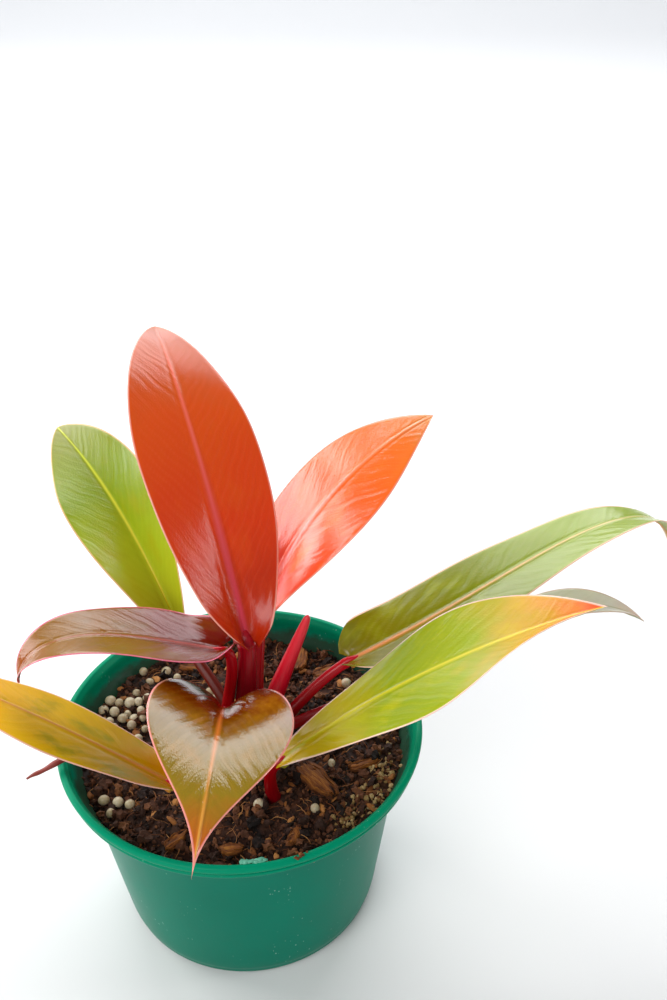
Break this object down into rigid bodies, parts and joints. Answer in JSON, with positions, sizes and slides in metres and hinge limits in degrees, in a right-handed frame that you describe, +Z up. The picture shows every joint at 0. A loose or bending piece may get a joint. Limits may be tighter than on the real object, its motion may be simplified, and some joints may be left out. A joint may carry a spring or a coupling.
{
  "type": "potted philodendron",
  "caption": "Young self-heading philodendron with long glossy leaves from orange to green on red stalks, in a round tapering plastic nursery pot of potting mix.",
  "frame": {"origin": "the middle of the pot's flat underside, on the surface it stands on", "axes": "+Z is up; -Y is the side that the drooping heart-shaped leaf faces; +X is the side of the two longest low leaves"},
  "size_m": [0.3416, 0.2521, 0.2381],
  "materials": {
    "green_plastic": "injection-moulded polypropylene, satin and lightly scuffed",
    "potting_mix": null,
    "crown_stem": "dull living stem",
    "blade_tall_bronze": null,
    "blade_back_orange": null,
    "blade_back_green": null,
    "blade_left_dark_red": null,
    "blade_front_heart": null,
    "blade_front_left_olive": null,
    "blade_right_long": null,
    "blade_right_broad": null,
    "blade_right_hidden": null,
    "crimson_stalk": null,
    "red_sheath": null,
    "dry_sheath": "dry and papery",
    "feed_pellet": "dull resin-coated fertiliser",
    "bark": "rough, dry bark"
  },
  "bodies": {
    "root": {"nursery_pot": "green_plastic", "potting_mix": "potting_mix", "crown_stem": "crown_stem", "leaf_blade_tall_bronze": "blade_tall_bronze", "leaf_blade_back_orange": "blade_back_orange", "leaf_blade_back_green": "blade_back_green", "leaf_blade_left_dark_red": "blade_left_dark_red", "leaf_blade_front_heart": "blade_front_heart", "leaf_blade_front_left_olive": "blade_front_left_olive", "leaf_blade_right_long": "blade_right_long", "leaf_blade_right_broad": "blade_right_broad", "leaf_blade_right_hidden": "blade_right_hidden", "leaf_stalk_tall_bronze": "crimson_stalk", "leaf_stalk_back_orange": "crimson_stalk", "leaf_stalk_back_green": "crimson_stalk", "leaf_stalk_left_dark_red": "crimson_stalk", "leaf_stalk_front_heart": "crimson_stalk", "leaf_stalk_front_left_olive": "crimson_stalk", "leaf_stalk_right_long": "crimson_stalk", "leaf_stalk_right_broad": "crimson_stalk", "leaf_stalk_right_hidden": "crimson_stalk", "new_leaf_sheath": "red_sheath", "dry_sheath": "dry_sheath", "feed_pellet_01": "feed_pellet", "feed_pellet_02": "feed_pellet", "feed_pellet_03": "feed_pellet", "feed_pellet_04": "feed_pellet", "feed_pellet_05": "feed_pellet", "feed_pellet_06": "feed_pellet", "feed_pellet_07": "feed_pellet", "feed_pellet_08": "feed_pellet", "feed_pellet_09": "feed_pellet", "feed_pellet_10": "feed_pellet", "feed_pellet_11": "feed_pellet", "feed_pellet_12": "feed_pellet", "feed_pellet_13": "feed_pellet", "feed_pellet_14": "feed_pellet", "feed_pellet_15": "feed_pellet", "feed_pellet_16": "feed_pellet", "feed_pellet_17": "feed_pellet", "feed_pellet_18": "feed_pellet", "feed_pellet_19": "feed_pellet", "feed_pellet_20": "feed_pellet", "feed_pellet_21": "feed_pellet", "bark_chip_1": "bark", "bark_chip_2": "bark", "bark_chip_3": "bark", "bark_chip_4": "bark", "bark_chip_5": "bark", "bark_chip_6": "bark", "bark_chip_7": "bark", "bark_chip_8": "bark", "bark_chip_9": "bark"}
  },
  "joints": []
}
